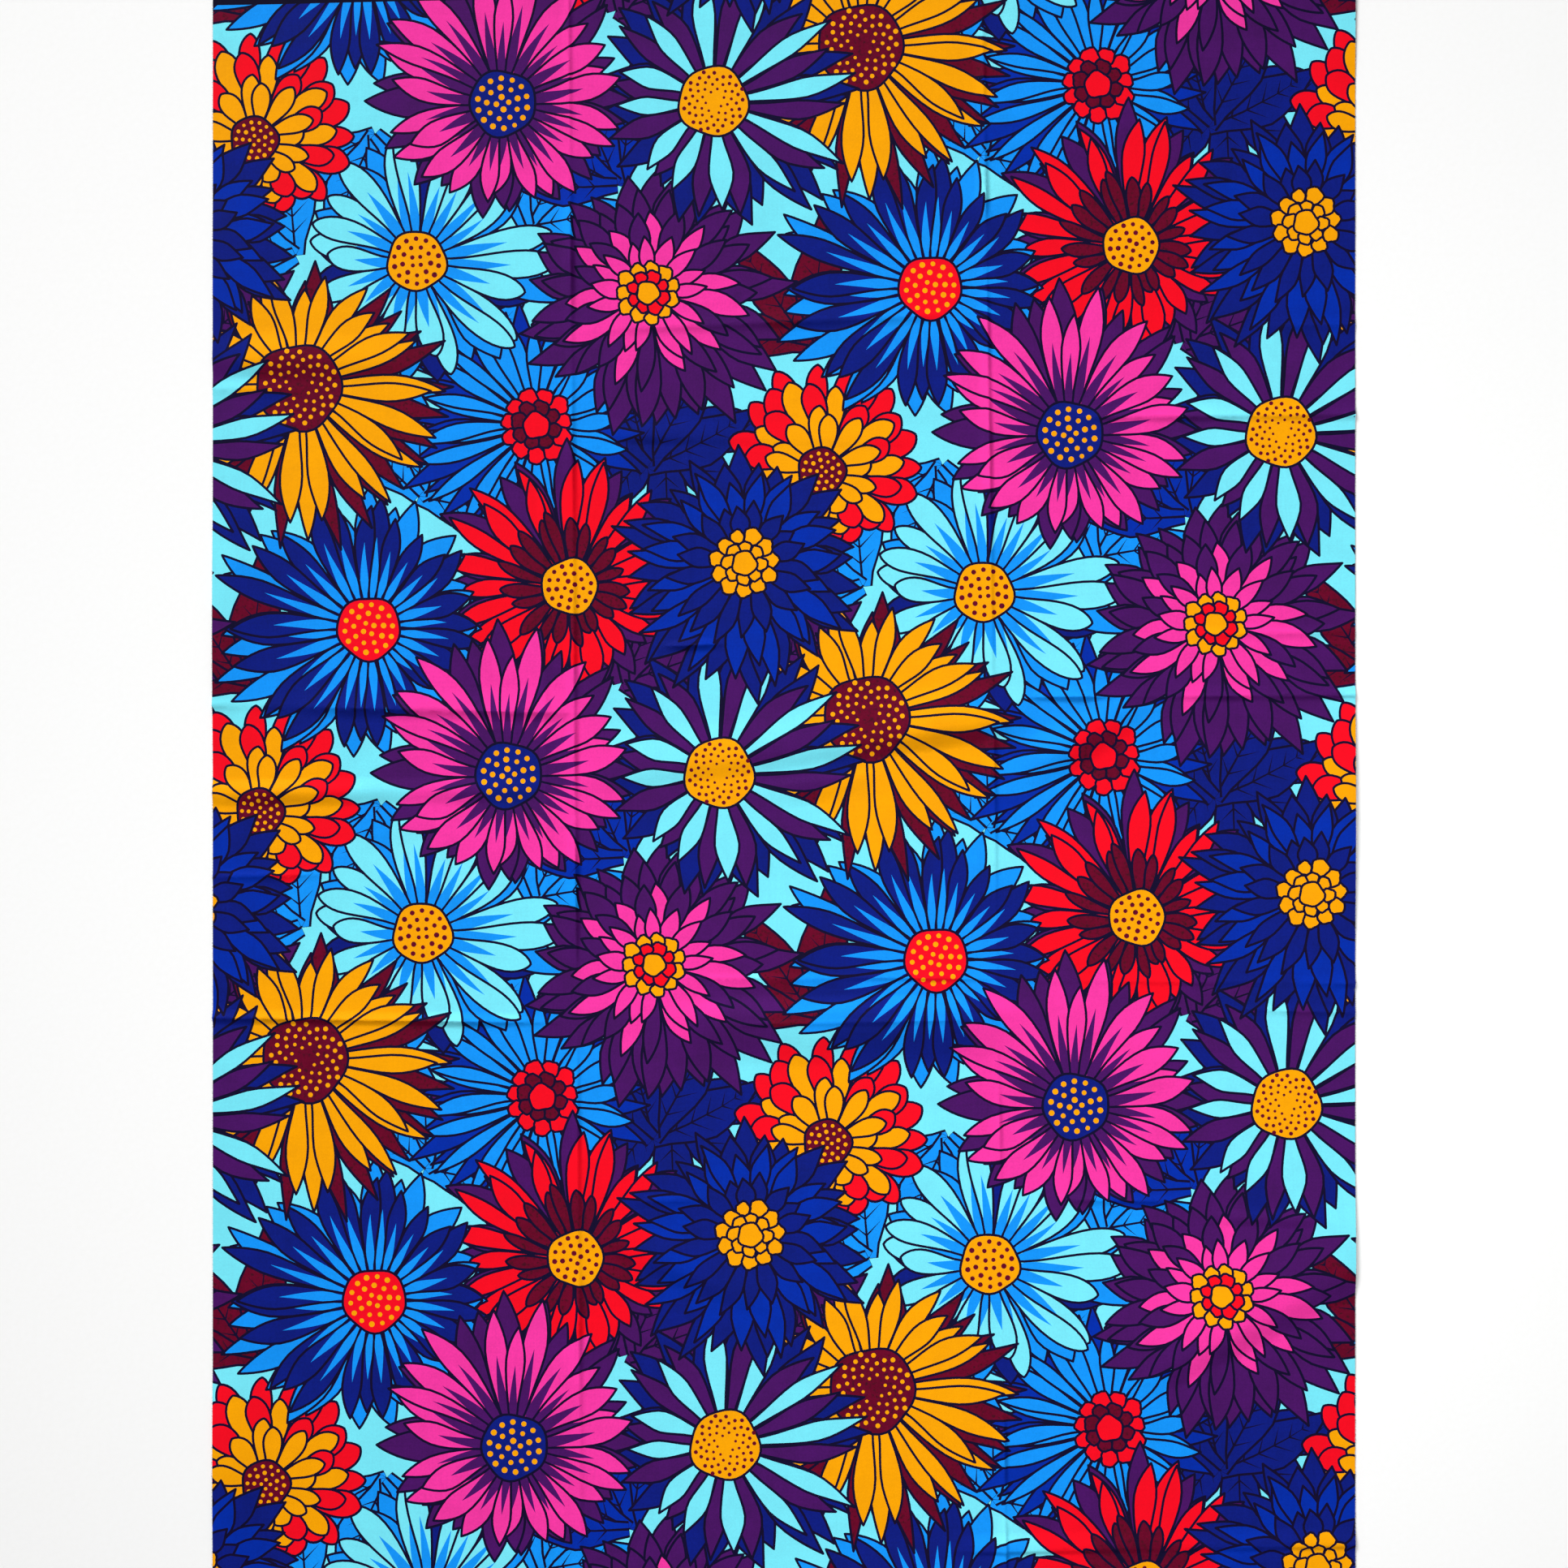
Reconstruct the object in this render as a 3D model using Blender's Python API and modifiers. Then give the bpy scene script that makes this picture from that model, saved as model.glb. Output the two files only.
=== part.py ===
"""A length of printed cotton cloth, cut from the bolt and laid flat on a table.

The frame: X runs along the bolt, between the two cut ends; Y runs across it, from selvedge to
selvedge; Z is up, and the cloth rests on the plane z = 0. Metres throughout.

The cloth is one woven piece with nothing sewn to it, so it is one solid: a wall of even thickness
that lies on the table and lifts off it where the cloth was folded. Two pressed folds run from
selvedge to selvedge, shorter creases cross them, and the edges lift a little.
"""

import math
from collections import namedtuple

import bmesh
import bpy

# The cut
LENGTH = 0.850  # between the cut ends
WIDTH = 1.200  # from selvedge to selvedge
WALL = 0.0012  # the cloth, thick enough to be held as a solid
SKEW = 0.0087  # rise of the selvedges along X: the ends were cut half a degree out of square

# How the cloth lifts off the table
FADE = 0.060  # a crease dies away over this length at each end
BLEND = 3.0  # the power that joins creases where they cross: the higher lift wins
EDGE_REACH = 0.055  # how far in from an edge its lift is felt
EDGE_LIFT = 0.0028  # the highest lift of an edge

# How closely the solid follows the creases
PITCH_X = 0.048  # widest gap between two columns of points
PITCH_Y = 0.042  # widest gap between two rows of points
LEAST_GAP = 0.0035  # narrowest gap between two of them
ACROSS = (0.0, 0.22, 0.55, 1.0)  # places of the points across a crease, as shares of its reach

# A crease runs from (x0, y0) to (x1, y1). It lifts the cloth by rise at its crest, and reach away
# from the crest the cloth is flat again. A pressed crease has a sharp crest, a soft one is round.
# One that is drawn past an edge keeps its height to that edge.
Crease = namedtuple("Crease", "name x0 y0 x1 y1 reach rise pressed")
CREASES = (
    Crease("bolt fold left", -0.161, 0.700, -0.150, -0.700, 0.017, 0.0042, True),
    Crease("bolt fold right", 0.146, 0.700, 0.167, -0.700, 0.015, 0.0036, True),
    Crease("upper middle", -0.150, 0.341, 0.110, 0.352, 0.018, 0.0036, True),
    Crease("upper left", -0.520, 0.322, -0.215, 0.316, 0.022, 0.0034, False),
    Crease("upper right", 0.190, 0.276, 0.520, 0.279, 0.014, 0.0026, True),
    Crease("under upper middle", -0.150, 0.264, 0.130, 0.258, 0.018, 0.0026, False),
    Crease("mid left", -0.520, 0.064, -0.135, 0.056, 0.020, 0.0048, True),
    Crease("mid right", 0.150, 0.068, 0.520, 0.070, 0.014, 0.0032, True),
    Crease("mid slant", -0.170, 0.006, 0.200, 0.058, 0.034, 0.0050, False),
    Crease("low mid left", -0.520, -0.004, -0.160, 0.000, 0.018, 0.0028, False),
    Crease("lower left", -0.520, -0.169, -0.150, -0.174, 0.018, 0.0050, True),
    Crease("lower middle", -0.110, -0.162, 0.180, -0.154, 0.024, 0.0046, False),
    Crease("lower right", 0.150, -0.142, 0.520, -0.146, 0.016, 0.0034, True),
    Crease("base slant", 0.240, -0.450, 0.520, -0.306, 0.040, 0.0052, False),
    Crease("base middle", -0.170, -0.318, 0.030, -0.402, 0.026, 0.0030, False),
)


def smooth(share):
    """0 below 0, 1 above 1, and an even S between them."""
    share = min(max(share, 0.0), 1.0)
    return share * share * (3.0 - 2.0 * share)


def crease_lift(crease, x, y):
    """The height that one crease gives the cloth at a point."""
    run = math.hypot(crease.x1 - crease.x0, crease.y1 - crease.y0)
    along_x = (crease.x1 - crease.x0) / run
    along_y = (crease.y1 - crease.y0) / run
    along = (x - crease.x0) * along_x + (y - crease.y0) * along_y
    across = abs((y - crease.y0) * along_x - (x - crease.x0) * along_y)
    if across >= crease.reach or not 0.0 < along < run:
        return 0.0
    share = across / crease.reach
    profile = (1.0 - share) ** 2 if crease.pressed else 0.5 + 0.5 * math.cos(math.pi * share)
    return crease.rise * profile * smooth(along / FADE) * smooth((run - along) / FADE)


def edge_lift(x, y):
    """The height that the free edges give the cloth: a slow wave that shows only near an edge."""
    from_end = LENGTH / 2 - abs(x)
    from_selvedge = WIDTH / 2 - abs(y - SKEW * x)
    wave = 0.5 * math.sin(21.0 * y + 3.0 * x + 0.6) + 0.5 * math.sin(13.0 * x - 8.0 * y + 2.1)
    near = max(smooth(1.0 - from_end / EDGE_REACH), smooth(1.0 - from_selvedge / EDGE_REACH))
    return EDGE_LIFT * near * max(wave, 0.0)


def lift(x, y):
    """How far the underside of the cloth is above the table at a point."""
    lifts = [crease_lift(crease, x, y) for crease in CREASES] + [edge_lift(x, y)]
    return sum(one**BLEND for one in lifts) ** (1.0 / BLEND)


def stations(half, pitch, crests):
    """Places of the points from -half to half: close together at each crest, which comes first, then
    at the places beside it, and never further apart than pitch."""
    wanted = [-half, half]
    for share in ACROSS:
        for crest, reach in crests:
            wanted += [crest - share * reach, crest + share * reach]
    kept = []
    for place in wanted:
        if abs(place) <= half and all(abs(place - other) >= LEAST_GAP for other in kept):
            kept.append(place)
    kept.sort()
    filled = [kept[0]]
    for place in kept[1:]:
        gap = place - filled[-1]
        steps = math.ceil(gap / pitch)
        filled += [filled[-1] + gap * step / steps for step in range(1, steps)] + [place]
    return filled


def crests_along(axis):
    """(place, reach) of each crease that a row (axis "y") or a column (axis "x") of points follows."""
    upright = [crease for crease in CREASES if abs(crease.x1 - crease.x0) < 0.1]
    if axis == "x":
        return [((crease.x0 + crease.x1) / 2, crease.reach) for crease in upright]
    level = [crease for crease in CREASES if crease not in upright]
    return [((crease.y0 + crease.y1) / 2, crease.reach) for crease in level]


def lean(column):
    """How far a column of points drifts in X for each metre of Y, so that it follows the bolt folds."""
    left, right = CREASES[0], CREASES[1]
    drift_left = (left.x0 - left.x1) / (left.y0 - left.y1)
    drift_right = (right.x0 - right.x1) / (right.y0 - right.y1)
    at_left, at_right = (left.x0 + left.x1) / 2, (right.x0 + right.x1) / 2
    half = LENGTH / 2
    if column < at_left:
        return drift_left * (column + half) / (at_left + half)
    if column > at_right:
        return drift_right * (half - column) / (half - at_right)
    return drift_left + (drift_right - drift_left) * (column - at_left) / (at_right - at_left)


def cloth_material():
    """Waxed cotton: a mid blue that stands for the many-coloured print, matt with a slight gloss."""
    material = bpy.data.materials.new("wax_printed_cotton")
    material.use_nodes = True
    shader = material.node_tree.nodes["Principled BSDF"]
    shader.inputs["Base Color"].default_value = (0.06, 0.10, 0.42, 1.0)
    shader.inputs["Roughness"].default_value = 0.72
    shader.inputs["Metallic"].default_value = 0.0
    return material


def cloth_length(collection):
    """The cloth: the upper face as a grid of points raised over the creases, given its wall below."""
    columns = stations(LENGTH / 2, PITCH_X, crests_along("x"))
    rows = stations(WIDTH / 2, PITCH_Y, crests_along("y"))
    shape = bmesh.new()
    bmesh.ops.create_grid(
        shape, x_segments=len(columns) - 1, y_segments=len(rows) - 1, size=0.5
    )
    for point in shape.verts:
        column = columns[round((point.co.x + 0.5) * (len(columns) - 1))]
        row = rows[round((point.co.y + 0.5) * (len(rows) - 1))]
        x = column + lean(column) * row
        y = row + SKEW * x
        point.co = (x, y, WALL + lift(x, y))
    mesh = bpy.data.meshes.new("cloth_length")
    shape.to_mesh(mesh)
    shape.free()
    mesh.shade_smooth()
    mesh.materials.append(cloth_material())
    cloth = bpy.data.objects.new("cloth_length", mesh)
    collection.objects.link(cloth)
    wall = cloth.modifiers.new("wall", "SOLIDIFY")
    wall.thickness = WALL
    wall.offset = -1.0
    return cloth


def main():
    for old in list(bpy.data.objects):
        bpy.data.objects.remove(old)
    parts = bpy.data.collections.new("printed_cloth")
    bpy.context.scene.collection.children.link(parts)
    cloth_length(parts)


main()
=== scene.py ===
# The looks of a length of wax-printed cotton, laid out flat and seen from straight above. X runs along
# the bolt between the two cut ends, Y across it from selvedge to selvedge, and Z is up. Metres, apart
# from the rows of the creases, the print and the mesh that follows it, which are in millimetres.
import math
import random
from collections import namedtuple

import bpy
import numpy as np
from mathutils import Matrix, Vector
from mathutils.bvhtree import BVHTree
from mathutils.geometry import delaunay_2d_cdt


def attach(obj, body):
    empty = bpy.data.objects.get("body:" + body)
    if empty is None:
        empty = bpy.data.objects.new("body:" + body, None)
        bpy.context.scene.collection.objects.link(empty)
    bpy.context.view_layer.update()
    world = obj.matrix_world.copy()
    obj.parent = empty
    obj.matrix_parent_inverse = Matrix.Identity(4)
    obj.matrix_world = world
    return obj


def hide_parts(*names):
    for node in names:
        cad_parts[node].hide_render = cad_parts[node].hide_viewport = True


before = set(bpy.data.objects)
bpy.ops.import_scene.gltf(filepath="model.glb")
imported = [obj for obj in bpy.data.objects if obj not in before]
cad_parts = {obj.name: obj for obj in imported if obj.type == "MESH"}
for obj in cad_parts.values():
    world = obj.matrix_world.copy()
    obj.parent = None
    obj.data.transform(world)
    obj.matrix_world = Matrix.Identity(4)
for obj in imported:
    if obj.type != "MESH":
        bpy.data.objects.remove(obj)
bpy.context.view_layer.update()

# The cut, as in the part
LENGTH = 0.850  # between the cut ends
WIDTH = 1.200  # from selvedge to selvedge
SKEW = 0.0087  # rise of the selvedges along X: the ends were cut half a degree out of square
THICK = 0.00036  # thickness of the cotton
SELVEDGE = 0.0109  # width of the dark band along each selvedge
WIDENED = 0.0023  # the band is this much wider at the left end
WIDENING = 0.200  # and is even again this far from it

# How the cloth lifts off the table. The creases are the part's, but two are a little longer, and one of
# those lies a centimetre lower.
FADE = 0.060  # a crease dies away over this length at each end
SHORT_FADE = 0.4  # or over this share of its own length, if that is less
BLEND = 3.0  # the power that joins creases where they cross: the higher lift wins
EDGE_REACH = 0.055  # how far in from an edge its lift goes
EDGE_LIFT = 0.0028  # the highest lift of an edge
SWELL = 0.0005  # the slack between creases
SLACK_LEVEL = 0.5  # the middle of its waves, as a share of SWELL
SLOPE_STEP = 0.0006  # distance over which a slope is measured

# The waves of the edges and of the slack: size, radians a metre in X and in Y, and start
EDGE_WAVES = ((0.5, 3.0, 21.0, 0.6), (0.5, 13.0, -8.0, 2.1))
SLACK_WAVES = (
    (0.17, 31.0, 9.0, 1.0), (0.17, -13.0, 44.0, 0.3), (0.08, 67.0, -38.0, 2.0), (0.08, 29.0, 83.0, 4.0),
)

# A crease runs from one point to another. It reaches near towards the window and far the other way, and
# a sharp one comes to an edge. It was pressed unevenly, on the bolt and by hand: each pair is a place
# along it, in X, or in Y for the bolt folds, and the share of its rise that is left there.
WINDOW = (-0.55, 0.84)  # the window's direction in plan
EVEN = ((0, 1.0),)
Crease = namedtuple("Crease", "x0 y0 x1 y1 near far rise sharp shares", defaults=(EVEN,))
MEASURES = 7  # the first values of its row are in millimetres, like the places of its shares
PER_METRE = 1000


def creases(*rows):
    """Creases in metres, from their rows."""
    return [Crease(*(size / PER_METRE for size in row[:MEASURES]), *row[MEASURES:]) for row in rows]


CREASES = creases(
    # The two folds of the bolt
    (-161, 700, -150, -700, 12, 5.2, 4.2, True, (
        (-600, 0.2), (-480, 0.2), (-400, 0.73), (-353, 0.2), (-250, 0.69), (-190, 0.15), (-145, 0.03),
        (-110, 0.66), (-52, 0.99), (-20, 0.33), (30, 0.86), (60, 0.53), (90, 0.73), (170, 0.33),
        (250, 0.76), (330, 0.1), (390, 0.92), (460, 0.13), (540, 0.49),
    )),
    (146, 700, 167, -700, 12, 4.8, 3.6, True, (
        (-570, 0.9), (-540, 0.2), (-490, 1.0), (-460, 0.08), (-300, 0.08), (-250, 0.6), (-220, 0.17),
        (-100, 0.1), (-60, 0.33), (30, 0.63), (70, 0.26), (140, 0.36), (200, 0.74), (250, 1.0),
        (300, 0.69), (340, 0.82), (380, 0.23), (420, 0.12), (440, 1.0), (468, 0.6), (500, 0.05),
        (530, 0.49), (570, 0.23),
    )),
    # High up
    (-150, 341, 145, 353, 18, 8.5, 3.6, True, ((-80, 0.5), (-30, 0.6), (0, 0.8), (60, 0.5))),
    (-520, 322, -215, 316, 26, 17, 3.4, False, (
        (-430, 0.4), (-390, 1.1), (-340, 0.7), (-290, 0.4), (-250, 0.1),
    )),
    (190, 276, 520, 279, 14, 7, 2.6, True, ((200, 0.6), (310, 1.0), (350, 0.6), (420, 0.8))),
    (-150, 264, 130, 258, 18, 9, 2.6, False, ((-110, 1.0), (-70, 0.6), (-30, 0.3), (0, 0.2))),
    # Across the middle
    (-520, 64, -135, 56, 24, 11, 4.8, True, (
        (-430, 0.8), (-400, 0.25), (-365, 0.25), (-335, 0.8), (-240, 0.7), (-180, 0.85),
    )),
    (150, 68, 520, 70, 14, 5.5, 3.2, True, (
        (170, 0.15), (190, 0.9), (220, 1.2), (250, 0.15), (290, 0.25), (330, 0.9), (355, 0.4),
        (385, 0.75), (420, 0.65),
    )),
    (-170, 6, 200, 58, 36, 20, 5, False, (
        (-120, 0.4), (-30, 0.6), (50, 0.75), (110, 1.15), (170, 0.7),
    )),
    (-520, -4, -160, 0, 12, 13, 2.8, False, (
        (-420, 0.8), (-390, 1.3), (-330, 1.0), (-280, 0.6), (-220, 0.9),
    )),
    # Below the middle
    (-520, -169, -150, -174, 9, 6.5, 5, True, ((-430, 0.55), (-280, 0.62), (-240, 0.75), (-190, 0.45))),
    (-110, -171, 205, -168, 18, 42, 4.6, False, ((-60, 0.8), (30, 1.35), (120, 1.3), (160, 0.5))),
    (150, -142, 520, -146, 12, 7, 3.4, True, (
        (170, 0.2), (220, 0.15), (260, 0.3), (310, 0.45), (370, 0.15), (420, 0.5),
    )),
    # Low down
    (240, -450, 520, -306, 80, 26, 5.2, False, ((260, 0.4), (340, 0.9), (420, 0.6))),
    (-170, -318, 30, -402, 32, 18, 3, False, ((-150, 0.4), (-80, 0.9), (-40, 0.5), (0, 0.2))),
)
# Marks too fine for the part's wall
FINE_CREASES = creases(
    # Drags down from a fold
    (-180, 262, -176, -120, 7, 7, 0.7, True),
    (-73, 290, -69, 115, 6, 6, 0.6, True),
    # Nips
    (-450, 298, -350, 297, 9, 9, 1.1, True),
    (-450, -66, -325, -63, 7, 7, 1.7, True),
    (-95, 106, -40, 108, 6, 6, 3.4, True),
    (-118, -307, -54, -305, 8, 8, 1.5, True),
    (340, 344, 450, 346, 9, 9, 1.2, True),
    (285, 115, 450, 117, 7, 7, 1.3, True),
    (335, -164, 450, -167, 6, 6, 1.4, True),
    (190, -305, 310, -307, 7, 7, 2, True),
    (300, -318, 415, -321, 8, 8, 1.5, False),
    # At the foot, and aslant at the right
    (110, -567, 480, -561, 14, 5, 1.8, False, ((170, 1.2), (240, 0.7), (290, 0.2), (350, 0.9))),
    (160, 2, 280, 74, 22, 22, 3.4, False),
    # Edges of wide creases
    (-60, -175, 160, -171, 5, 5, 1.1, True),
    (-90, -140, 75, -141, 5, 12, 1.4, True),
    (30, -140, 170, -142, 12, 4, 1.4, True),
    (-35, -3, 80, 12, 8, 18, 1.8, False),
)

# How closely the mesh follows the creases, in metres
LATTICE = 0.012  # spacing of the plain points
STAGGER = (0.25, 0.75)  # where their even and odd rows start, in spacings
ALONG_EDGE = 0.004  # spacing of the points along the cloth's edges
ALONG_CREASE = 0.006  # spacing of the points along a crease
ACROSS_CREASE = 0.004  # and of the rows of points beside its crest
LEAST_ROWS = 4  # of those rows on each side
FOLLOW = 0.00006  # the mesh gets a point where it is further than this from the cloth
PRINT_LOOKS = 4  # times that the printed faces are cut, each time with more points where they miss
CORE_LOOKS = 7  # and the core inside them, which mustn't break through
CLEAR = 0.002  # single points keep this far inside the cloth's edges
ADDED_CLEAR = 0.0005  # and the points that a later look adds, this far


def smooth(share):
    """0 below 0, 1 above 1, and an even S between them."""
    share = np.clip(share, 0.0, 1.0)
    return share * share * (3.0 - 2.0 * share)


def crease_lift(crease, x, y):
    """The height that one crease gives the cloth at each point."""
    run = math.hypot(crease.x1 - crease.x0, crease.y1 - crease.y0)
    along_x = (crease.x1 - crease.x0) / run
    along_y = (crease.y1 - crease.y0) / run
    along = (x - crease.x0) * along_x + (y - crease.y0) * along_y
    across = (y - crease.y0) * along_x - (x - crease.x0) * along_y
    to_window = across * (along_x * WINDOW[1] - along_y * WINDOW[0])
    reach = np.where(to_window > 0.0, crease.near, crease.far)
    share = np.clip(np.abs(across) / reach, 0.0, 1.0)
    profile = (1.0 - share) ** 2 if crease.sharp else 0.5 + 0.5 * np.cos(np.pi * share)
    place = y if abs(along_y) > abs(along_x) else x
    places, shares = np.array(crease.shares).T
    left = np.interp(place, places / PER_METRE, shares)
    fade = min(FADE, SHORT_FADE * run)
    return crease.rise * left * profile * smooth(along / fade) * smooth((run - along) / fade)


def waves(table, x, y):
    """The sum of a table's waves at each point."""
    return sum(size * np.sin(along * x + across * y + start) for size, along, across, start in table)


def edge_lift(x, y):
    """The height that the free edges give the cloth: a slow wave that shows only near an edge."""
    from_end = LENGTH / 2 - np.abs(x)
    from_selvedge = WIDTH / 2 - np.abs(y - SKEW * x)
    near = np.maximum(smooth(1.0 - from_end / EDGE_REACH), smooth(1.0 - from_selvedge / EDGE_REACH))
    return EDGE_LIFT * near * np.maximum(waves(EDGE_WAVES, x, y), 0.0)


def swell(x, y):
    """The slack of the cloth between its creases: low, wide and uneven."""
    return SWELL * np.maximum(SLACK_LEVEL + waves(SLACK_WAVES, x, y), 0.0)


def lift(x, y):
    """How far the underside of the cloth is above the table at each point."""
    lifts = [crease_lift(crease, x, y) for crease in CREASES]
    lifts += [edge_lift(x, y), swell(x, y)]
    fine = sum(crease_lift(crease, x, y) for crease in FINE_CREASES)
    return fine + sum(one**BLEND for one in lifts) ** (1.0 / BLEND)


def slopes(x, y):
    """The way the cloth's upper face points, at each point."""
    along = (lift(x + SLOPE_STEP, y) - lift(x - SLOPE_STEP, y)) / (2 * SLOPE_STEP)
    across = (lift(x, y + SLOPE_STEP) - lift(x, y - SLOPE_STEP)) / (2 * SLOPE_STEP)
    facing = np.column_stack((-along, -across, np.ones_like(along)))
    return facing / np.linalg.norm(facing, axis=1)[:, None]


# The print is drawn like its stencils: each shape is a dark outline with its dye laid inside it, and
# what is drawn later covers what was drawn before. Millimetres from here to the end of the drawing.
REPEAT_ALONG = 420.0  # the print repeats after this along the bolt
REPEAT_ACROSS = 500.0  # and after this across it
HALF_DROP = 0.5  # how far up every other column of repeats is, as a share of that
LINE = 1.8  # width of the dark outline
SIDE_POINTS = 14  # along each side of a petal
TURN = 2.0 * math.pi
HAND = 7  # the seed of the unevenness of the hand that drew it

# That unevenness: bends in radians, and the least and the most of what varies, as shares
BEND = 0.40  # of a petal
LEAF_BEND = 0.35
SWAY = 0.1  # of a petal's edge, as a share of its half width
SWAY_WAVES = 7.0  # radians of that sway along a petal
TURNED = (-0.1, 0.1)  # how far a petal is turned from its place, as a share of its room
PETAL_LENGTHS = (0.80, 1.08)
PETAL_WIDTHS = (0.82, 1.15)
LEAF_LENGTHS = (0.90, 1.08)
LEAF_WIDTHS = (0.85, 1.10)
BUTTON_PLACES = (0.94, 1.06)
BUTTON_SIZES = (0.85, 1.15)

# The root of a petal is this share of its greatest width. The mark on it has these shares of its length
# and width, and is widest at this share of its own length.
ROOT = 0.35
MARK = (0.62, 0.42, 0.35)

# How round a button's disc, lobes and heart are: the wobble as a share of the radius, and the points
DISC = (0.03, 40)
LOBE = (0.06, 16)
HEART = (0.05, 24)
WOBBLES = (3.0, 5.0)  # its waves round the edge
DOT_POINTS = 9

# The rings of a button: place, count and, for lobes, size, as shares of the button. Seeds lie on a
# spiral, each a golden share of a turn after the last, and are bigger further out.
LOBE_RINGS = ((0.86, 11, 0.27), (0.52, 8, 0.24))
HEART_SIZE = 0.40
DOT_RINGS = ((0.76, 14), (0.48, 9), (0.19, 4))
DOT_SIZE = 0.084
SEEDS = range(4, 64)
SEED_TURN = 0.381966
SEED_FIELD = 0.9
SEED_SIZE = 0.038
SEED_GROWTH = 0.024

# A leaf's midrib, from root to tip and back: shares of its length, and half widths
MIDRIB = ((0.0, 1.0), (0.3, 0.75), (0.6, 0.45), (0.86, 0.0), (0.6, -0.45), (0.3, -0.75), (0.0, -1.0))
LEAF_WIDEST = 0.48
OUTER_SHORT = 0.5  # leaves are shorter by this, times their place beside the middle one squared
VEINS = (0.20, 0.34, 0.48, 0.62, 0.74)  # where the side veins leave the midrib
VEIN_REACH = 0.36  # of the leaf's width
VEIN_SHIFT = 0.12  # the longest vein is this far short of the leaf's middle
VEIN_HOLD = 0.9  # below 1, the veins near the root are longer
VEIN_LEAN = 0.9  # a vein's tip is this far forward for each millimetre out
VEIN_FOOT = (0.9, 0.2)  # half the width of its foot, and how far that is from the midrib's middle

LEAST_STEP = 0.05  # the points of a petal's side that is moved out are at least this far apart
BLUNTNESS = 0.8  # and it goes on past the last of them by this share of the move
LEAST_BEND = 0.001  # a bend below this isn't drawn

# How a petal narrows past its widest place: the power of the way along, and the power of the curve
TIPS = {
    "blunt": (2.2, 0.68),
    "pointed": (1.75, 0.95),
    "sharp": (1.35, 1.05),
}

# Each flower's button, and its rings of petals from the outer one in. A ring starts and ends at these
# shares of the flower's radius. widest is the place of a petal's greatest width, and fullness that
# width as a share of the room it has. stripe is the dye of the long mark on its root.
Button = namedtuple("Button", "radius dye trim trim_dye")
Ring = namedtuple("Ring", "count start reach widest fullness tip dyes stripe", defaults=(None,))
FLOWERS = {
    "dahlia": ((0.21, "amber", "lobes", "scarlet"), (
        (28, 0.3, 1.0, 0.62, 1.22, "sharp", ("purple",)),
        (26, 0.22, 0.86, 0.6, 1.15, "pointed", ("purple",)),
        (21, 0.15, 0.68, 0.6, 1.05, "pointed", ("rose_pink", "purple")),
        (16, 0.08, 0.47, 0.55, 1.05, "pointed", ("rose_pink",)),
    )),
    "sunflower": ((0.31, "maroon", "seeds", "amber"), (
        (32, 0.2, 1.0, 0.58, 1.25, "sharp", ("maroon",)),
        (31, 0.2, 0.96, 0.6, 1.08, "pointed", ("amber",)),
    )),
    "striped daisy": ((0.23, "scarlet", "dots", "amber"), (
        (30, 0.2, 1.02, 0.62, 1.35, "pointed", ("azure",)),
        (28, 0.2, 0.96, 0.64, 1.02, "pointed", ("navy",), "azure"),
    )),
    "gerbera": ((0.22, "amber", "dots", "maroon"), (
        (30, 0.2, 1.0, 0.66, 1.2, "pointed", ("purple",)),
        (29, 0.2, 0.94, 0.66, 1.04, "pointed", ("scarlet",)),
        (21, 0.14, 0.52, 0.62, 0.9, "blunt", ("maroon",)),
    )),
    "cornflower": ((0.24, "amber", "lobes", "amber"), (
        (28, 0.25, 1.0, 0.62, 1.2, "sharp", ("navy",)),
        (26, 0.18, 0.84, 0.62, 1.12, "sharp", ("royal_blue",)),
        (18, 0.12, 0.58, 0.62, 1.05, "sharp", ("navy",)),
    )),
    "cosmos": ((0.23, "amber", "dots", "maroon"), (
        (22, 0.15, 1.0, 0.66, 1.25, "pointed", ("azure", "azure", "navy")),
        (23, 0.15, 0.94, 0.68, 1.02, "blunt", ("pale_cyan",), "azure"),
    )),
    "anemone": ((0.25, "navy", "dots", "amber"), (
        (25, 0.15, 1.0, 0.62, 1.22, "pointed", ("purple",)),
        (26, 0.15, 0.95, 0.66, 1.04, "pointed", ("rose_pink",), "purple"),
    )),
    "star": ((0.26, "amber", "seeds", "maroon"), (
        (24, 0.18, 1.0, 0.58, 1.3, "sharp", ("navy",)),
        (24, 0.18, 0.95, 0.6, 0.98, "sharp", ("purple", "pale_cyan")),
    )),
    "marigold": ((0.24, "maroon", "dots", "amber"), (
        (23, 0.3, 1.0, 0.7, 1.18, "blunt", ("scarlet",)),
        (20, 0.25, 0.82, 0.7, 1.12, "blunt", ("amber", "scarlet")),
        (15, 0.12, 0.58, 0.66, 1.1, "blunt", ("amber",)),
    )),
    "michaelmas": ((0.27, "scarlet", "lobes", "maroon"), (
        (32, 0.2, 1.0, 0.6, 1.2, "sharp", ("royal_blue",)),
        (32, 0.2, 0.93, 0.6, 1.05, "pointed", ("azure",)),
    )),
}

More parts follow.
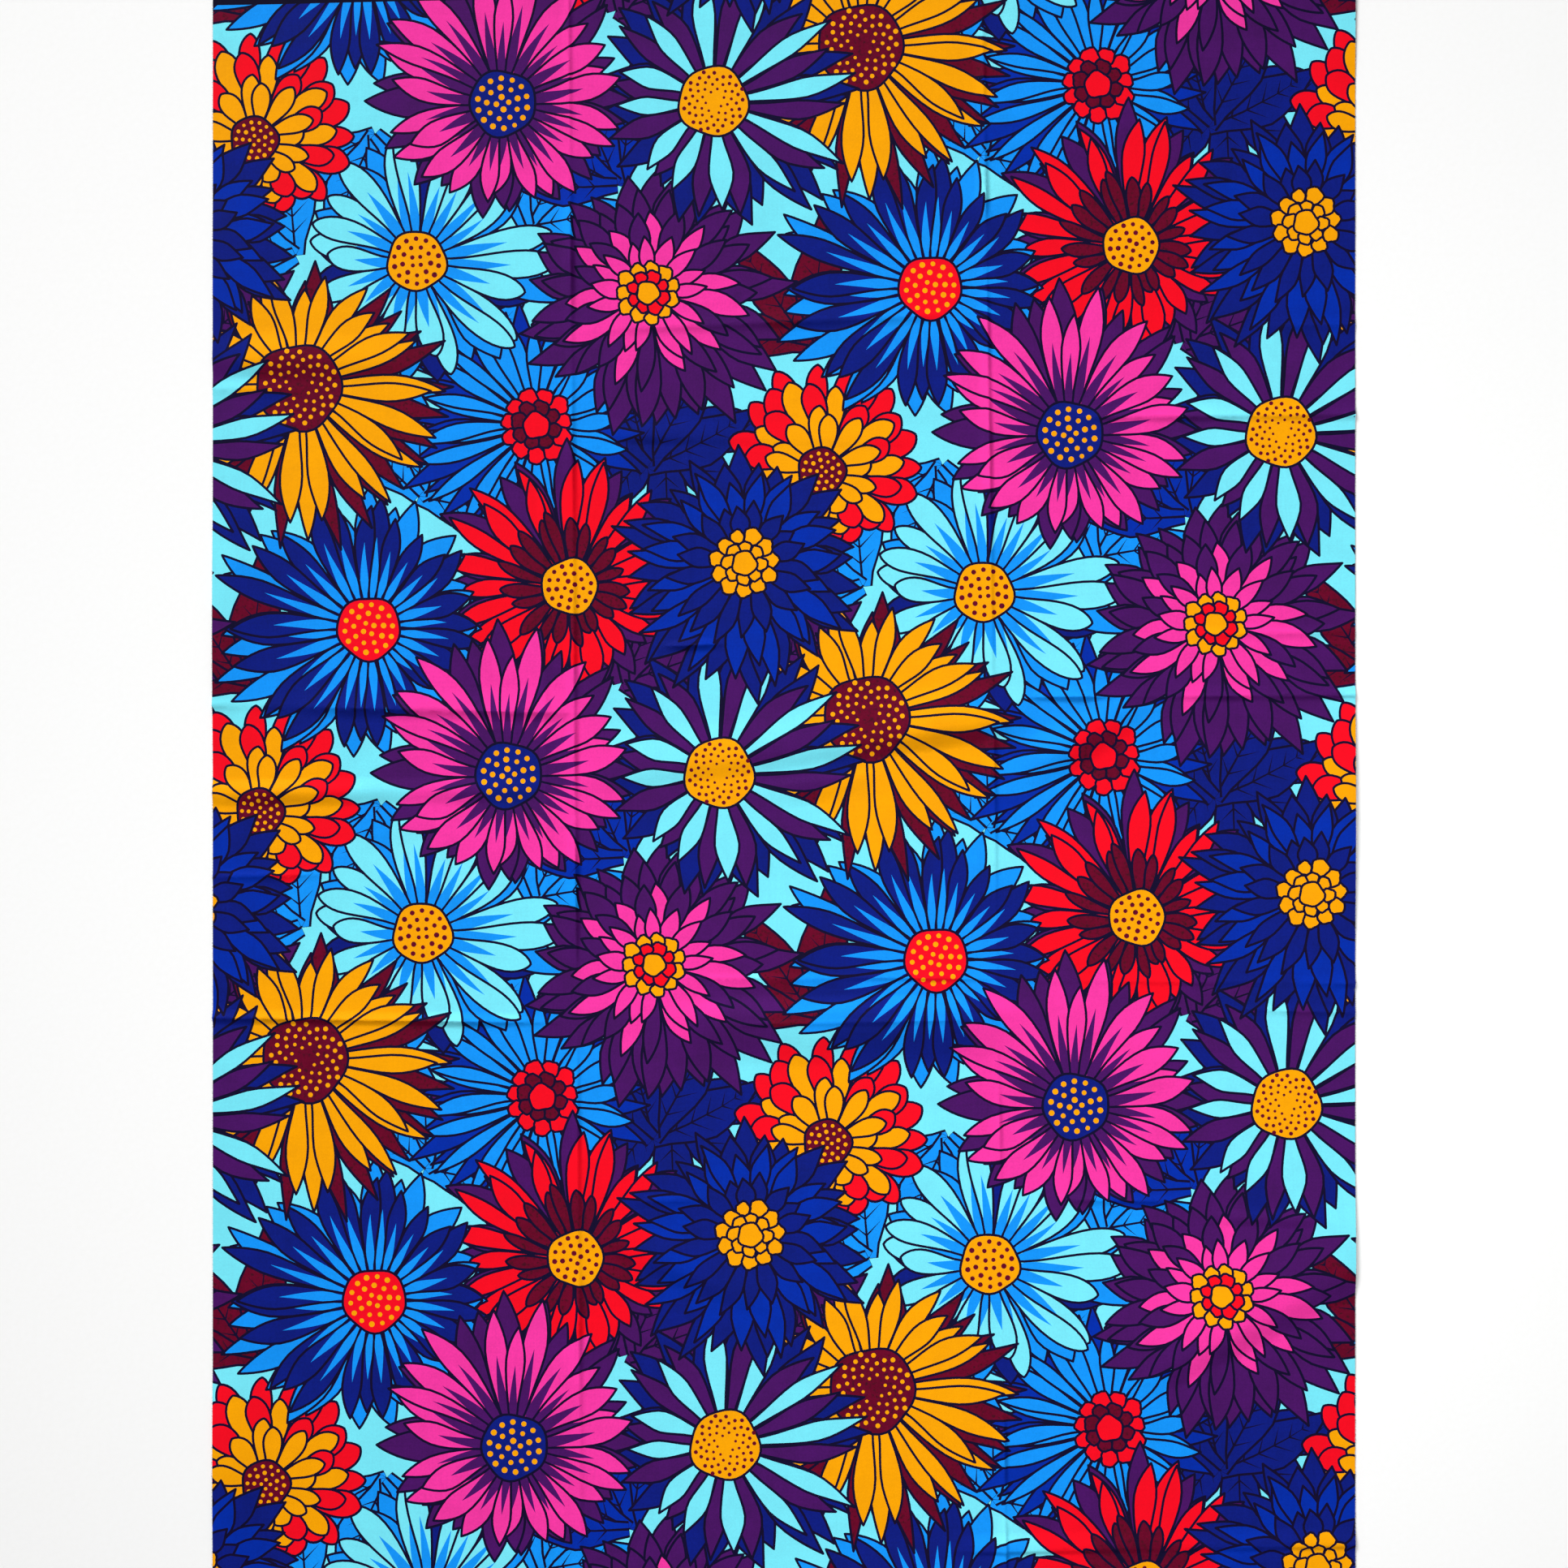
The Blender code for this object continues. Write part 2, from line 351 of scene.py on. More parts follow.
# lean makes the petals towards side longer, as on a flower that is seen a little from one side
Place = namedtuple("Place", "flower x y radius turn lean side")
PLACES = [Place(*row) for row in (
    ("michaelmas", 238, 22, 92, 25, 0.20, 200),
    ("gerbera", 262, 402, 95, 0, 0.18, 130),
    ("cosmos", 150, 145, 96, 0, 0.20, 30),
    ("marigold", 30, 236, 74, 0, 0.18, 90),
    ("striped daisy", 112, 372, 102, 20, 0.20, 160),
    ("dahlia", 322, 120, 102, 5, 0.14, -60),
    ("sunflower", 62, 52, 102, 10, 0.20, 300),
    ("star", 372, 262, 100, 12, 0.20, 20),
    ("anemone", 215, 262, 98, 8, 0.18, 100),
    ("cornflower", 392, 418, 96, 30, 0.16, 250),
)]

# A sprig is a fan of leaves behind the flowers
Sprig = namedtuple("Sprig", "dye x y reach heading spread count width")
SPRIGS = [Sprig(*row) for row in (
    ("azure", 170, 60, 100, 90, 100, 3, 34),
    ("azure", 150, 470, 92, 60, 150, 4, 36),
    ("azure", 60, 150, 105, 150, 110, 3, 36),
    ("azure", 232, 170, 96, 60, 100, 3, 36),
    ("royal_blue", 300, 200, 105, 130, 110, 4, 34),
    ("azure", 120, 240, 100, -100, 110, 4, 32),
    ("purple", 300, 330, 100, 40, 130, 4, 36),
    ("azure", 190, 330, 90, 110, 110, 4, 30),
    ("navy", 330, 20, 108, -60, 120, 4, 34),
    ("maroon", 20, 330, 100, 100, 140, 4, 34),
    ("purple", 210, 480, 105, 60, 140, 4, 36),
    ("azure", 20, 150, 95, 180, 140, 4, 36),
    ("purple", 400, 330, 100, 60, 130, 4, 34),
    ("navy", 320, 490, 108, 80, 120, 4, 36),
)]


def petal_side(length, half_width, widest, tip):
    """One side of a petal that lies along u from its root: the places along it and the half widths."""
    share = np.sin(np.linspace(0.0, math.pi / 2, SIDE_POINTS))
    rise = ROOT + (1.0 - ROOT) * smooth(share / widest)
    along, power = TIPS[tip]
    past = np.clip((share - widest) / (1.0 - widest), 0.0, 1.0)
    return length * share, half_width * rise * (1.0 - past**along) ** power


def moved_out(along, half, distance):
    """A petal's side moved out by a distance (in, if negative), up to where it meets the middle."""
    step_u = np.gradient(along)
    step_v = np.gradient(half)
    size = np.hypot(step_u, step_v)
    u = along - distance * step_v / size
    v = half + distance * step_u / size
    kept = [0]
    for place in range(1, len(u)):
        if v[place] <= 0.0:
            break
        if u[place] > u[kept[-1]] + LEAST_STEP:
            kept.append(place)
    last = kept[-1]
    if last + 1 < len(u) and v[last + 1] < 0.0:
        share = v[last] / (v[last] - v[last + 1])
        tip = u[last] + share * (u[last + 1] - u[last])
    else:
        tip = u[last] + BLUNTNESS * min(v[last], abs(distance))
    return np.append(u[kept], tip), np.append(v[kept], 0.0)


def both_sides(u, v):
    """One side of a petal and its mirror image, as one loop."""
    return np.concatenate((u, u[-2::-1])), np.concatenate((v, -v[-2::-1]))


def laid(u, v, root, heading, length, bend=0.0, sway=0.0, phase=0.0):
    """A loop bent round an arc, its edge swaying as a drawn line does, then turned and put in place."""
    v = v + sway * np.sin(SWAY_WAVES * u / length + phase) * np.clip(u / length, 0.0, 1.0)
    if abs(bend) > LEAST_BEND:
        arc = bend * u / length
        radius = length / bend
        u = (radius - v) * np.sin(arc)
        v = radius * (1.0 - np.cos(arc)) + v * np.cos(arc)
    cosine = math.cos(heading)
    sine = math.sin(heading)
    return np.column_stack((root[0] + u * cosine - v * sine, root[1] + u * sine + v * cosine))


def petal(hand, root, heading, length, half_width, widest, tip, dye, stripe=None, bend=None):
    """A petal as (dye, loop) pairs: the dark outline, the dye in it, and the stripe on its root."""
    bend = hand.uniform(-BEND, BEND) if bend is None else bend
    sway = SWAY * half_width * hand.random()
    phase = TURN * hand.random()
    sides = petal_side(length, half_width, widest, tip)
    layers = [("indigo_line", *moved_out(*sides, LINE / 2)), (dye, *moved_out(*sides, -LINE / 2))]
    if stripe:
        mark = petal_side(MARK[0] * length, MARK[1] * half_width, MARK[2], "sharp")
        layers.append((stripe, *moved_out(*mark, 0.0)))
    return [
        (colour, laid(*both_sides(u, v), root, heading, length, bend, sway, phase))
        for colour, u, v in layers
    ]


def from_middle(middle, around, out):
    """The point or points that lie so far out from a middle, in a direction or in several."""
    return np.array((middle[0] + out * np.cos(around), middle[1] + out * np.sin(around))).T


def disc(hand, middle, radius, dye, roundness):
    """A hand-drawn round as (dye, loop) pairs: the dark outline and the dye in it."""
    wobble, count = roundness
    around = np.linspace(0.0, TURN, count, endpoint=False)
    edge = 1.0
    for waves_round in WOBBLES:
        edge = edge + wobble * np.sin(waves_round * around + TURN * hand.random())
    return [
        ("indigo_line", from_middle(middle, around, radius * edge + LINE / 2)),
        (dye, from_middle(middle, around, radius * edge - LINE / 2)),
    ]


def dot(middle, radius, dye):
    """A dot with no outline."""
    return dye, from_middle(middle, np.linspace(0.0, TURN, DOT_POINTS, endpoint=False), radius)


def button(hand, place, kind):
    """The middle of a flower: rings of round lobes, or a disc with rings of dots or spiral seeds."""
    middle = (place.x, place.y)
    radius = kind.radius * place.radius
    shapes = []
    if kind.trim == "lobes":
        for (share, count, size), dye in zip(LOBE_RINGS, (kind.dye, kind.trim_dye)):
            first = hand.random()
            for n in range(count):
                out = radius * share * hand.uniform(*BUTTON_PLACES)
                at = from_middle(middle, TURN * (n + first) / count, out)
                lobe = radius * size * hand.uniform(*BUTTON_SIZES)
                shapes += disc(hand, at, lobe, dye, LOBE)
        return shapes + disc(hand, middle, HEART_SIZE * radius, kind.dye, HEART)
    shapes += disc(hand, middle, radius, kind.dye, DISC)
    if kind.trim == "dots":
        for share, count in DOT_RINGS:
            first = hand.random()
            for n in range(count):
                at = from_middle(middle, TURN * (n + first) / count, radius * share)
                shapes.append(dot(at, DOT_SIZE * radius * hand.uniform(*BUTTON_SIZES), kind.trim_dye))
    if kind.trim == "seeds":
        for n in SEEDS:
            out = SEED_FIELD * radius * math.sqrt(n / SEEDS.stop)
            at = from_middle(middle, TURN * SEED_TURN * n, out)
            shapes.append(dot(at, radius * (SEED_SIZE + SEED_GROWTH * n / SEEDS.stop), kind.trim_dye))
    return shapes


def flower(hand, place):
    """A flower, from its outer ring of petals in to its button."""
    middle, rings = FLOWERS[place.flower]
    shapes = []
    for ring in (Ring(*row) for row in rings):
        start = ring.start * place.radius
        room = (ring.reach - ring.start) * place.radius
        half_width = 0.5 * ring.fullness * TURN * (start + ring.widest * room) / ring.count
        first = hand.random()
        for n in (*range(0, ring.count, 2), *range(1, ring.count, 2)):
            heading = math.radians(place.turn) + TURN * (n + first + hand.uniform(*TURNED)) / ring.count
            stretch = 1.0 + place.lean * math.cos(heading - math.radians(place.side))
            root = from_middle((place.x, place.y), heading, start)
            length = room * stretch * hand.uniform(*PETAL_LENGTHS)
            wide = half_width * hand.uniform(*PETAL_WIDTHS)
            dye = ring.dyes[n % len(ring.dyes)]
            shapes += petal(hand, root, heading, length, wide, ring.widest, ring.tip, dye, ring.stripe)
    return shapes + button(hand, place, Button(*middle))


def leaf(hand, root, heading, length, width, dye):
    """A leaf: its blade, its midrib, and the side veins that leave it."""
    bend = hand.uniform(-LEAF_BEND, LEAF_BEND)
    shapes = petal(hand, root, heading, length, width / 2, LEAF_WIDEST, "sharp", dye, None, bend)
    u, v = np.array(MIDRIB).T
    shapes.append(("indigo_line", laid(length * u, v, root, heading, length, bend)))
    half_foot, off = VEIN_FOOT
    for share in VEINS:
        reach = VEIN_REACH * width * math.sin(math.pi * (share + VEIN_SHIFT) ** VEIN_HOLD)
        u = share * length + np.array([-half_foot, VEIN_LEAN * reach, half_foot])
        for side in (1, -1):
            v = side * np.array([off, reach, off])
            shapes.append(("indigo_line", laid(u[::side], v[::side], root, heading, length, bend)))
    return shapes


def sprig(hand, one):
    """A fan of leaves from one point."""
    shapes = []
    for n in range(one.count):
        share = n / (one.count - 1) - 0.5
        heading = math.radians(one.heading + one.spread * share)
        length = one.reach * (1.0 - OUTER_SHORT * share * share) * hand.uniform(*LEAF_LENGTHS)
        width = one.width * hand.uniform(*LEAF_WIDTHS)
        shapes += leaf(hand, (one.x, one.y), heading, length, width, one.dye)
    return shapes


def drawing():
    """The shapes of one repeat in the order they are drawn, in a group for each sprig and flower."""
    hand = random.Random(HAND)
    return [sprig(hand, one) for one in SPRIGS] + [flower(hand, place) for place in PLACES]


# A dye's colours: where it took best, where it is thin, and, for maroon, its specks.
Dye = namedtuple("Dye", "full thin speck", defaults=(None,))
COLOURS = {
    "indigo_line": Dye("0E0827", "120B31"),
    "navy": Dye("091870", "0C1D83"),
    "royal_blue": Dye("00289A", "002EAC"),
    "azure": Dye("0F8DED", "1297FE"),
    "pale_cyan": Dye("74E0F1", "79EBFB"),
    "rose_pink": Dye("EA359B", "FB3AA7"),
    "purple": Dye("421059", "4C1366"),
    "scarlet": Dye("EF071F", "F90821"),
    "amber": Dye("F29F00", "FCA700"),
    "maroon": Dye("5E0122", "6D0529", "450A1D"),
    "selvedge": Dye("0B0720", "0E0A26"),
    "cotton": Dye("232A63", "2C3470"),
}
DYES = [name for name in COLOURS if name not in ("selvedge", "cotton")]
GROUND = "pale_cyan"  # the dye behind every sprig and flower
SAME_POINT = 0.002  # print points closer than this become one
STRAIGHT = 0.02  # a point of an outline that is this close to straight isn't kept
NO_EDGES = np.empty((0, 2), int)
ROUND_ONE = (range(-1, 2), range(-2, 2))  # columns and rows of the repeats that reach into one
ALL_OVER = (range(-3, 3), range(-3, 3))  # and of those that cover the cloth
CORNERS = ((-1, -1), (1, -1), (1, 1), (-1, 1))  # of a square, anticlockwise


def repeats(columns, rows):
    """Where each repeat of the drawing starts: every other column is half a drop up."""
    for column in columns:
        for row in rows:
            yield column * REPEAT_ALONG, (HALF_DROP * (column % 2) + row) * REPEAT_ACROSS


def cross(first, second):
    """Twice the area between each pair of vectors, below 0 if it is clockwise from first to second."""
    return first[:, 0] * second[:, 1] - first[:, 1] * second[:, 0]


def anticlockwise(loop):
    """A loop of points, turned round if it runs clockwise."""
    return loop if cross(loop, np.roll(loop, -1, axis=0)).sum() > 0.0 else loop[::-1]


def sides_of(triangles):
    """The three sides of each triangle, as edges."""
    return triangles[:, [0, 1, 1, 2, 2, 0]].reshape(-1, 2)


def renumbered(shapes):
    """The points that edges or triangles use, and the same edges or triangles in numbers of those."""
    used, numbers = np.unique(shapes, return_inverse=True)
    return used, numbers.reshape(shapes.shape)


def tree_of(points, heights, triangles):
    """Triangles that can be asked which of them is nearest to a point, or is met by a ray."""
    corners = np.column_stack((points, heights)).tolist()
    return BVHTree.FromPolygons(corners, triangles.tolist(), all_triangles=True)


def joined(*parts):
    """Sets of points, of the edges or faces between them, and of what else they carry, as one set."""
    points, shapes, *others = zip(*parts)
    starts = np.cumsum([0] + [len(one) for one in points])
    numbered = [one + start for one, start in zip(shapes, starts)]
    return [np.concatenate(one) for one in (points, numbered, *others)]


def cut(points, edges, loops):
    """The plane cut into triangles along edges and round loops: the points, the triangles, and the
    number of the last loop that each triangle is in, or -1."""
    flat = [Vector(point) for point in points]
    found = delaunay_2d_cdt(flat, edges, loops, 0, SAME_POINT, True)
    last = np.array([max(inside) if inside else -1 for inside in found[5]])
    return np.array([tuple(point) for point in found[0]]), np.array(found[2]), last


def map_of_one_repeat():
    """One repeat of the print, cut into triangles of one dye each: points, triangles and dyes."""
    size = np.array((REPEAT_ALONG, REPEAT_ACROSS))
    loops = [size * ((0, 0), (1, 0), (1, 1), (0, 1))]
    dyes = [GROUND]
    for group in drawing():
        for start in repeats(*ROUND_ONE):
            for dye, shape in group:
                loop = anticlockwise(shape + start)
                if (loop.max(0) > 0.0).all() and (loop.min(0) < size).all():
                    loops.append(loop)
                    dyes.append(dye)
    ends = np.cumsum([0] + [len(loop) for loop in loops])
    numbered = [list(range(first, last)) for first, last in zip(ends, ends[1:])]
    points, triangles, top = cut(np.concatenate(loops), [], numbered)
    middle = points[triangles].mean(1)
    inside = (top >= 0) & (middle > 0.0).all(1) & (middle < size).all(1)
    numbers = np.array([DYES.index(dye) for dye in dyes])
    return points, triangles[inside], numbers[top[inside]]


def colour_edges(points, triangles, dyes):
    """The edges between unlike dyes."""
    sides = np.sort(sides_of(triangles), axis=1)
    order = np.lexsort((sides[:, 1], sides[:, 0]))
    sides = sides[order]
    side_dyes = np.repeat(dyes, 3)[order]
    shared = (sides[1:] == sides[:-1]).all(1)
    return sides[1:][shared & (side_dyes[1:] != side_dyes[:-1])]


def straightened(points, edges):
    """The edges without the points that they don't need, where two meet and go nearly straight on."""
    while True:
        meeting = np.bincount(edges.ravel(), minlength=len(points))
        ends = np.concatenate((edges, edges[:, ::-1]))
        ends = ends[np.argsort(ends[:, 0], kind="stable")]
        first = np.cumsum(meeting) - meeting
        middle = np.flatnonzero(meeting == 2)
        before = ends[first[middle], 1]
        after = ends[first[middle] + 1, 1]
        run = points[after] - points[before]
        bulge = np.abs(cross(run, points[middle] - points[before]))
        spare = np.zeros(len(points), bool)
        spare[middle[bulge < STRAIGHT * np.hypot(*run.T)]] = True
        alone = spare[middle] & ~(spare[before] & (before < middle)) & ~(spare[after] & (after < middle))
        if not alone.any():
            return edges
        gone = np.zeros(len(points), bool)
        gone[middle[alone]] = True
        kept = edges[~gone[edges].any(1)]
        edges = np.concatenate((kept, np.column_stack((before[alone], after[alone]))))


MM = 0.001
END = LENGTH / 2 / MM  # from the middle to a cut end, in millimetres
TOP = WIDTH / 2 / MM  # and to a selvedge

# The print runs with the selvedges, so it is turned with them
RUN = math.atan(SKEW)
LAY = np.array(((math.cos(RUN), math.sin(RUN)), (-math.sin(RUN), math.cos(RUN))))


def lift_mm(points):
    """The lift in millimetres at points in millimetres."""
    return lift(*(MM * points).T) / MM


def field_edge(x):
    """How far from the middle the print ends and the selvedge's band starts, in millimetres."""
    wider = WIDENED * (1.0 - smooth((MM * x + LENGTH / 2) / WIDENING))
    return (WIDTH / 2 - SELVEDGE - wider) / MM


def print_on_cloth(points, edges):
    """The print's edges over the whole cloth, each short enough to follow the creases."""
    parts = []
    for start in repeats(*ALL_OVER):
        laid_out = (points + start) @ LAY
        x, y = laid_out.T
        on = (np.abs(x) < END) & (np.abs(y - SKEW * x) < field_edge(x))
        used, kept = renumbered(edges[on[edges].any(1)])
        parts.append((laid_out[used], kept))
    points, edges = joined(*parts)
    while True:
        heights = lift_mm(points)
        middles = points[edges].mean(1)
        sag = np.abs(lift_mm(middles) - heights[edges].mean(1))
        long = sag > FOLLOW / MM
        if not long.any():
            return points, edges
        added = len(points) + np.arange(long.sum())
        halves = np.concatenate((
            np.column_stack((edges[long, 0], added)),
            np.column_stack((added, edges[long, 1])),
        ))
        points = np.concatenate((points, middles[long]))
        edges = np.concatenate((edges[~long], halves))


def line(start, end, spacing):
    """Points along a straight line, both ends included."""
    count = max(2, 1 + math.ceil(math.dist(start, end) / spacing))
    return np.linspace(start, end, count)


def chained(points):
    """Points in a row, and the edges between them."""
    numbers = np.arange(len(points))
    return points, np.column_stack((numbers[:-1], numbers[1:]))


def form_of_cloth():
    """What the mesh needs besides the print, in millimetres: the outline as a loop, the selvedges and
    sharp crests as chains of points, and single points beside the creases and between them."""
    corners = [(x * END, y * TOP + x * SKEW * END) for x, y in CORNERS]
    step = LATTICE / MM
    outline = np.concatenate([
        line(start, end, ALONG_EDGE / MM)[:-1] for start, end in zip(corners, corners[1:] + corners[:1])
    ])
    x = line((-END, 0.0), (END, 0.0), step)[:, 0]
    chains = [np.column_stack((x, SKEW * x + side * field_edge(x))) for side in (1, -1)]
    loose = []
    for crease in CREASES + FINE_CREASES:
        start, end = np.array(((crease.x0, crease.y0), (crease.x1, crease.y1))) / MM
        crest = line(start, end, ALONG_CREASE / MM)
        along = (end - start) / math.dist(start, end)
        across = np.array((-along[1], along[0]))
        if crease.sharp:
            chains.append(crest)
        else:
            loose.append(crest)
        for reach in sorted({crease.near, crease.far}):
            rows = max(LEAST_ROWS, math.ceil(reach / ACROSS_CREASE))
            for row in range(1, rows + 1):
                out = across * reach / MM * row / rows
                loose += [crest + out, crest - out]
    for row, y in enumerate(np.arange(-TOP, TOP, step)):
        x = np.arange(-END, END, step) + step * STAGGER[row % 2]
        loose.append(np.column_stack((x, y + SKEW * x)))
    return outline, chains, np.concatenate(loose)


def within(points, margin):
    """Which points, in millimetres, are further than a margin, in metres, inside the cloth's edges."""
    x, y = points.T
    return (np.abs(x) < END - margin / MM) & (np.abs(y - SKEW * x) < TOP - margin / MM)


def cut_cloth(points, edges, height, looks):
    """The cloth as triangles that follow the given edges and a height, all in millimetres. They are
    cut so many times, each time with more points where they miss the height."""
    outline, chains, loose = form_of_cloth()
    linked, links = joined((outline, NO_EDGES), *map(chained, chains), (points, edges))
    parts = [linked, loose[within(loose, CLEAR)]]
    links = links.tolist()
    loop = [list(range(len(outline)))]
    for _ in range(looks):
        found, triangles, inside = cut(np.concatenate(parts), links, loop)
        triangles = triangles[inside == 0]
        sides = np.unique(np.sort(sides_of(triangles), axis=1), axis=0)
        heights = height(found)
        for corners in (sides, triangles):
            middles = found[corners].mean(1)
            sag = np.abs(height(middles) - heights[corners].mean(1))
            parts.append(middles[(sag > FOLLOW / MM) & within(middles, ADDED_CLEAR)])
    used, triangles = renumbered(triangles)
    return found[used], triangles


print_points, print_triangles, print_dyes = map_of_one_repeat()
print_edges = straightened(print_points, colour_edges(print_points, print_triangles, print_dyes))
print_plan = tree_of(print_points, np.zeros(len(print_points)), print_triangles)
BAND = len(DYES)  # the number that stands for the selvedge bands, which carry no print


def dyes_at(points):
    """The number of the dye at each point of the cloth, in millimetres."""
    unturned = points @ LAY.T
    column = np.floor(unturned[:, 0] / REPEAT_ALONG)
    along = unturned[:, 0] - column * REPEAT_ALONG
    across = (unturned[:, 1] - HALF_DROP * REPEAT_ACROSS * (column % 2)) % REPEAT_ACROSS
    nearest = [print_plan.find_nearest((x, y, 0.0))[2] for x, y in zip(along, across)]
    x, y = points.T
    return np.where(np.abs(y - SKEW * x) > field_edge(x), BAND, print_dyes[nearest])


OVER_CLOTH = 50.0  # a height above all of the cloth, in millimetres
DOWN = (0.0, 0.0, -1.0)

laid_print = print_on_cloth(print_points, print_edges)
cloth_points, cloth_triangles = cut_cloth(*laid_print, lift_mm, PRINT_LOOKS)
cloth_dyes = dyes_at(cloth_points[cloth_triangles].mean(1))
printed_faces = tree_of(cloth_points, lift_mm(cloth_points), cloth_triangles)


def printed_mm(points):
    """The height of the printed faces themselves at points of the cloth, all in millimetres."""
    heights = []
    for (x, y), expected in zip(points, lift_mm(points)):
        found = printed_faces.ray_cast((x, y, OVER_CLOTH), DOWN)[0]
        if found is None:
            found = printed_faces.find_nearest((x, y, expected))[0]
        heights.append(found.z)
    return np.array(heights)


# The finishes are all one cloth: plain-woven cotton, printed with wax resist and dyed through, then
# calendered between hot rollers. Its colours are even, with a low gloss, a little cloudy where the dye
# took unevenly, and faintly streaked both ways by yarns that vary in thickness. The crackle of the wax
# leaves fine specks in the darkest red.
YARN = 0.00035  # spacing of the real yarns
DRAWN = 5  # the weave is drawn this many times as coarse, or it would be too fine to show
SLUB = 0.022  # length of the thick places in a yarn
CLOUD = 0.024  # size of the cloudy patches of the dye
SPECK = 0.0024  # size of the specks that the wax leaves, drawn twice as coarse
LINT = 0.0012  # size of the fine mottle of loose fibre ends
RUMPLE = 0.009  # size of the rumples of handled cotton
YARN_SHARE = 0.3  # how much the yarns change the depth of the dye
LINT_SHARE = 0.8  # and how much the lint does, against the clouds' 1
UNEVEN = {"From Min": 0.9, "From Max": 1.5}  # the sum of the three: full dye to thin dye
SPECKED = {"From Min": 0.54, "From Max": 0.70}  # the noise from a speck's rim to its middle
CLOUDED = {"From Min": 0.3, "From Max": 0.7, "To Min": 0.62, "To Max": 0.74}  # clouds to roughness
RUMPLED = {"Strength": 0.25, "Distance": 0.0006}
WOVEN = {"Strength": 0.15, "Distance": 0.0001}
# Loose fibre ends scatter most of the gloss away
COTTON = {"IOR": 1.53, "Specular IOR Level": 0.05}
MIX_FIRST = 6  # sockets of a mix of two colours
MIX_SECOND = 7
MIXED = 2


def linear(hex_colour):
    """An sRGB hex colour as linear red, green, blue and alpha."""
    shares = [int(hex_colour[at:at + 2], 16) / 255 for at in (0, 2, 4)]
    return [c / 12.92 if c <= 0.04045 else ((c + 0.055) / 1.055) ** 2.4 for c in shares] + [1.0]


def add(tree, kind, inputs, output=0, **settings):
    """Adds a node and gives an output of it. inputs has a value for each socket, or what feeds it."""
    node = tree.nodes.new(kind)
    for name, value in settings.items():
        setattr(node, name, value)
    for name, value in inputs.items():
        if isinstance(value, bpy.types.NodeSocket):
            tree.links.new(value, node.inputs[name])
        else:
            node.inputs[name].default_value = value
    return node.outputs[output] if node.outputs else None


def new_tree(name):
    """An empty material, its node tree and its object coordinates."""
    material = bpy.data.materials.new(name)
    material.use_nodes = True
    tree = material.node_tree
    tree.nodes.clear()
    return material, tree, add(tree, "ShaderNodeTexCoord", {}, "Object")


def printed_cotton(name):
    """Calendered wax print cotton in one dye."""
    dye = COLOURS[name]
    material, tree, place = new_tree(f"wax_print_cotton_{name}")
    pitch = YARN * DRAWN
    streaks = []
    for scale in ((1 / SLUB, 1 / pitch, 0.0), (1 / pitch, 1 / SLUB, 0.0)):
        stretched = add(tree, "ShaderNodeMapping", {"Vector": place, "Scale": scale})
        streak = {"Vector": stretched, "Scale": 1.0, "Detail": 1.0}
        streaks.append(add(tree, "ShaderNodeTexNoise", streak))
    yarn = add(tree, "ShaderNodeMath", dict(enumerate(streaks)), operation="ADD")
    clouds, lint, rumples = (
        add(tree, "ShaderNodeTexNoise", {"Vector": place, "Scale": 1 / size, "Detail": detail})
        for size, detail in ((CLOUD, 3.0), (LINT, 1.0), (RUMPLE, 2.0))
    )
    thin = clouds
    for uneven, share in ((yarn, YARN_SHARE), (lint, LINT_SHARE)):
        thin = add(tree, "ShaderNodeMath", {0: uneven, 1: share, 2: thin}, operation="MULTIPLY_ADD")
    tint = add(tree, "ShaderNodeMapRange", {"Value": thin, **UNEVEN})
    tinted = {0: tint, MIX_FIRST: linear(dye.full), MIX_SECOND: linear(dye.thin)}
    colour = add(tree, "ShaderNodeMix", tinted, MIXED, data_type="RGBA")
    if dye.speck:
        spots = add(tree, "ShaderNodeTexNoise", {"Vector": place, "Scale": 1 / SPECK, "Detail": 2.0})
        specks = add(tree, "ShaderNodeMapRange", {"Value": spots, **SPECKED})
        specked = {0: specks, MIX_FIRST: colour, MIX_SECOND: linear(dye.speck)}
        colour = add(tree, "ShaderNodeMix", specked, MIXED, data_type="RGBA")
    roughness = add(tree, "ShaderNodeMapRange", {"Value": clouds, **CLOUDED})
    rumpled = add(tree, "ShaderNodeBump", {"Height": rumples, **RUMPLED})
    woven = add(tree, "ShaderNodeBump", {"Height": yarn, "Normal": rumpled, **WOVEN})
    calendered = {"Base Color": colour, "Roughness": roughness, "Normal": woven, **COTTON}
    shader = add(tree, "ShaderNodeBsdfPrincipled", calendered)
    add(tree, "ShaderNodeOutputMaterial", {"Surface": shader})
    return material


# The pieces and the yarn ends that stick out of the two cut ends
MAP_MARGIN = 1.02  # the side of a piece's map, against the cloth's width
THREAD_PITCH = 0.0013  # spacing of the yarn ends
THREAD_SPREAD = 0.3  # how uneven it is
THREAD_FIELD = 0.499  # the last one is this share of the width from the middle
THREAD_REACH = (0.0003, 0.0011)  # how far they stick out
THREAD_DRIFT = 0.0004  # and how far aside their tips lie
THREAD_RADIUS = 0.00012
THREAD_ROOT = 0.0004  # how far in they start
THREAD_RINGS = (0.0, 0.7)  # where their two sections are, as shares of their reach
THREAD_CORNERS = (90, 210, 330)  # of a section, in degrees
THREAD_FACES = (
    (0, 1, 4), (0, 4, 3), (1, 2, 5), (1, 5, 4), (2, 0, 3), (2, 3, 5), (3, 4, 6), (4, 5, 6), (5, 3, 6),
)
EDGE_PLAY = 0.00002  # the core is this far inside the dyed faces
RIM = 0.00001  # a point this near the cloth's edge is on it


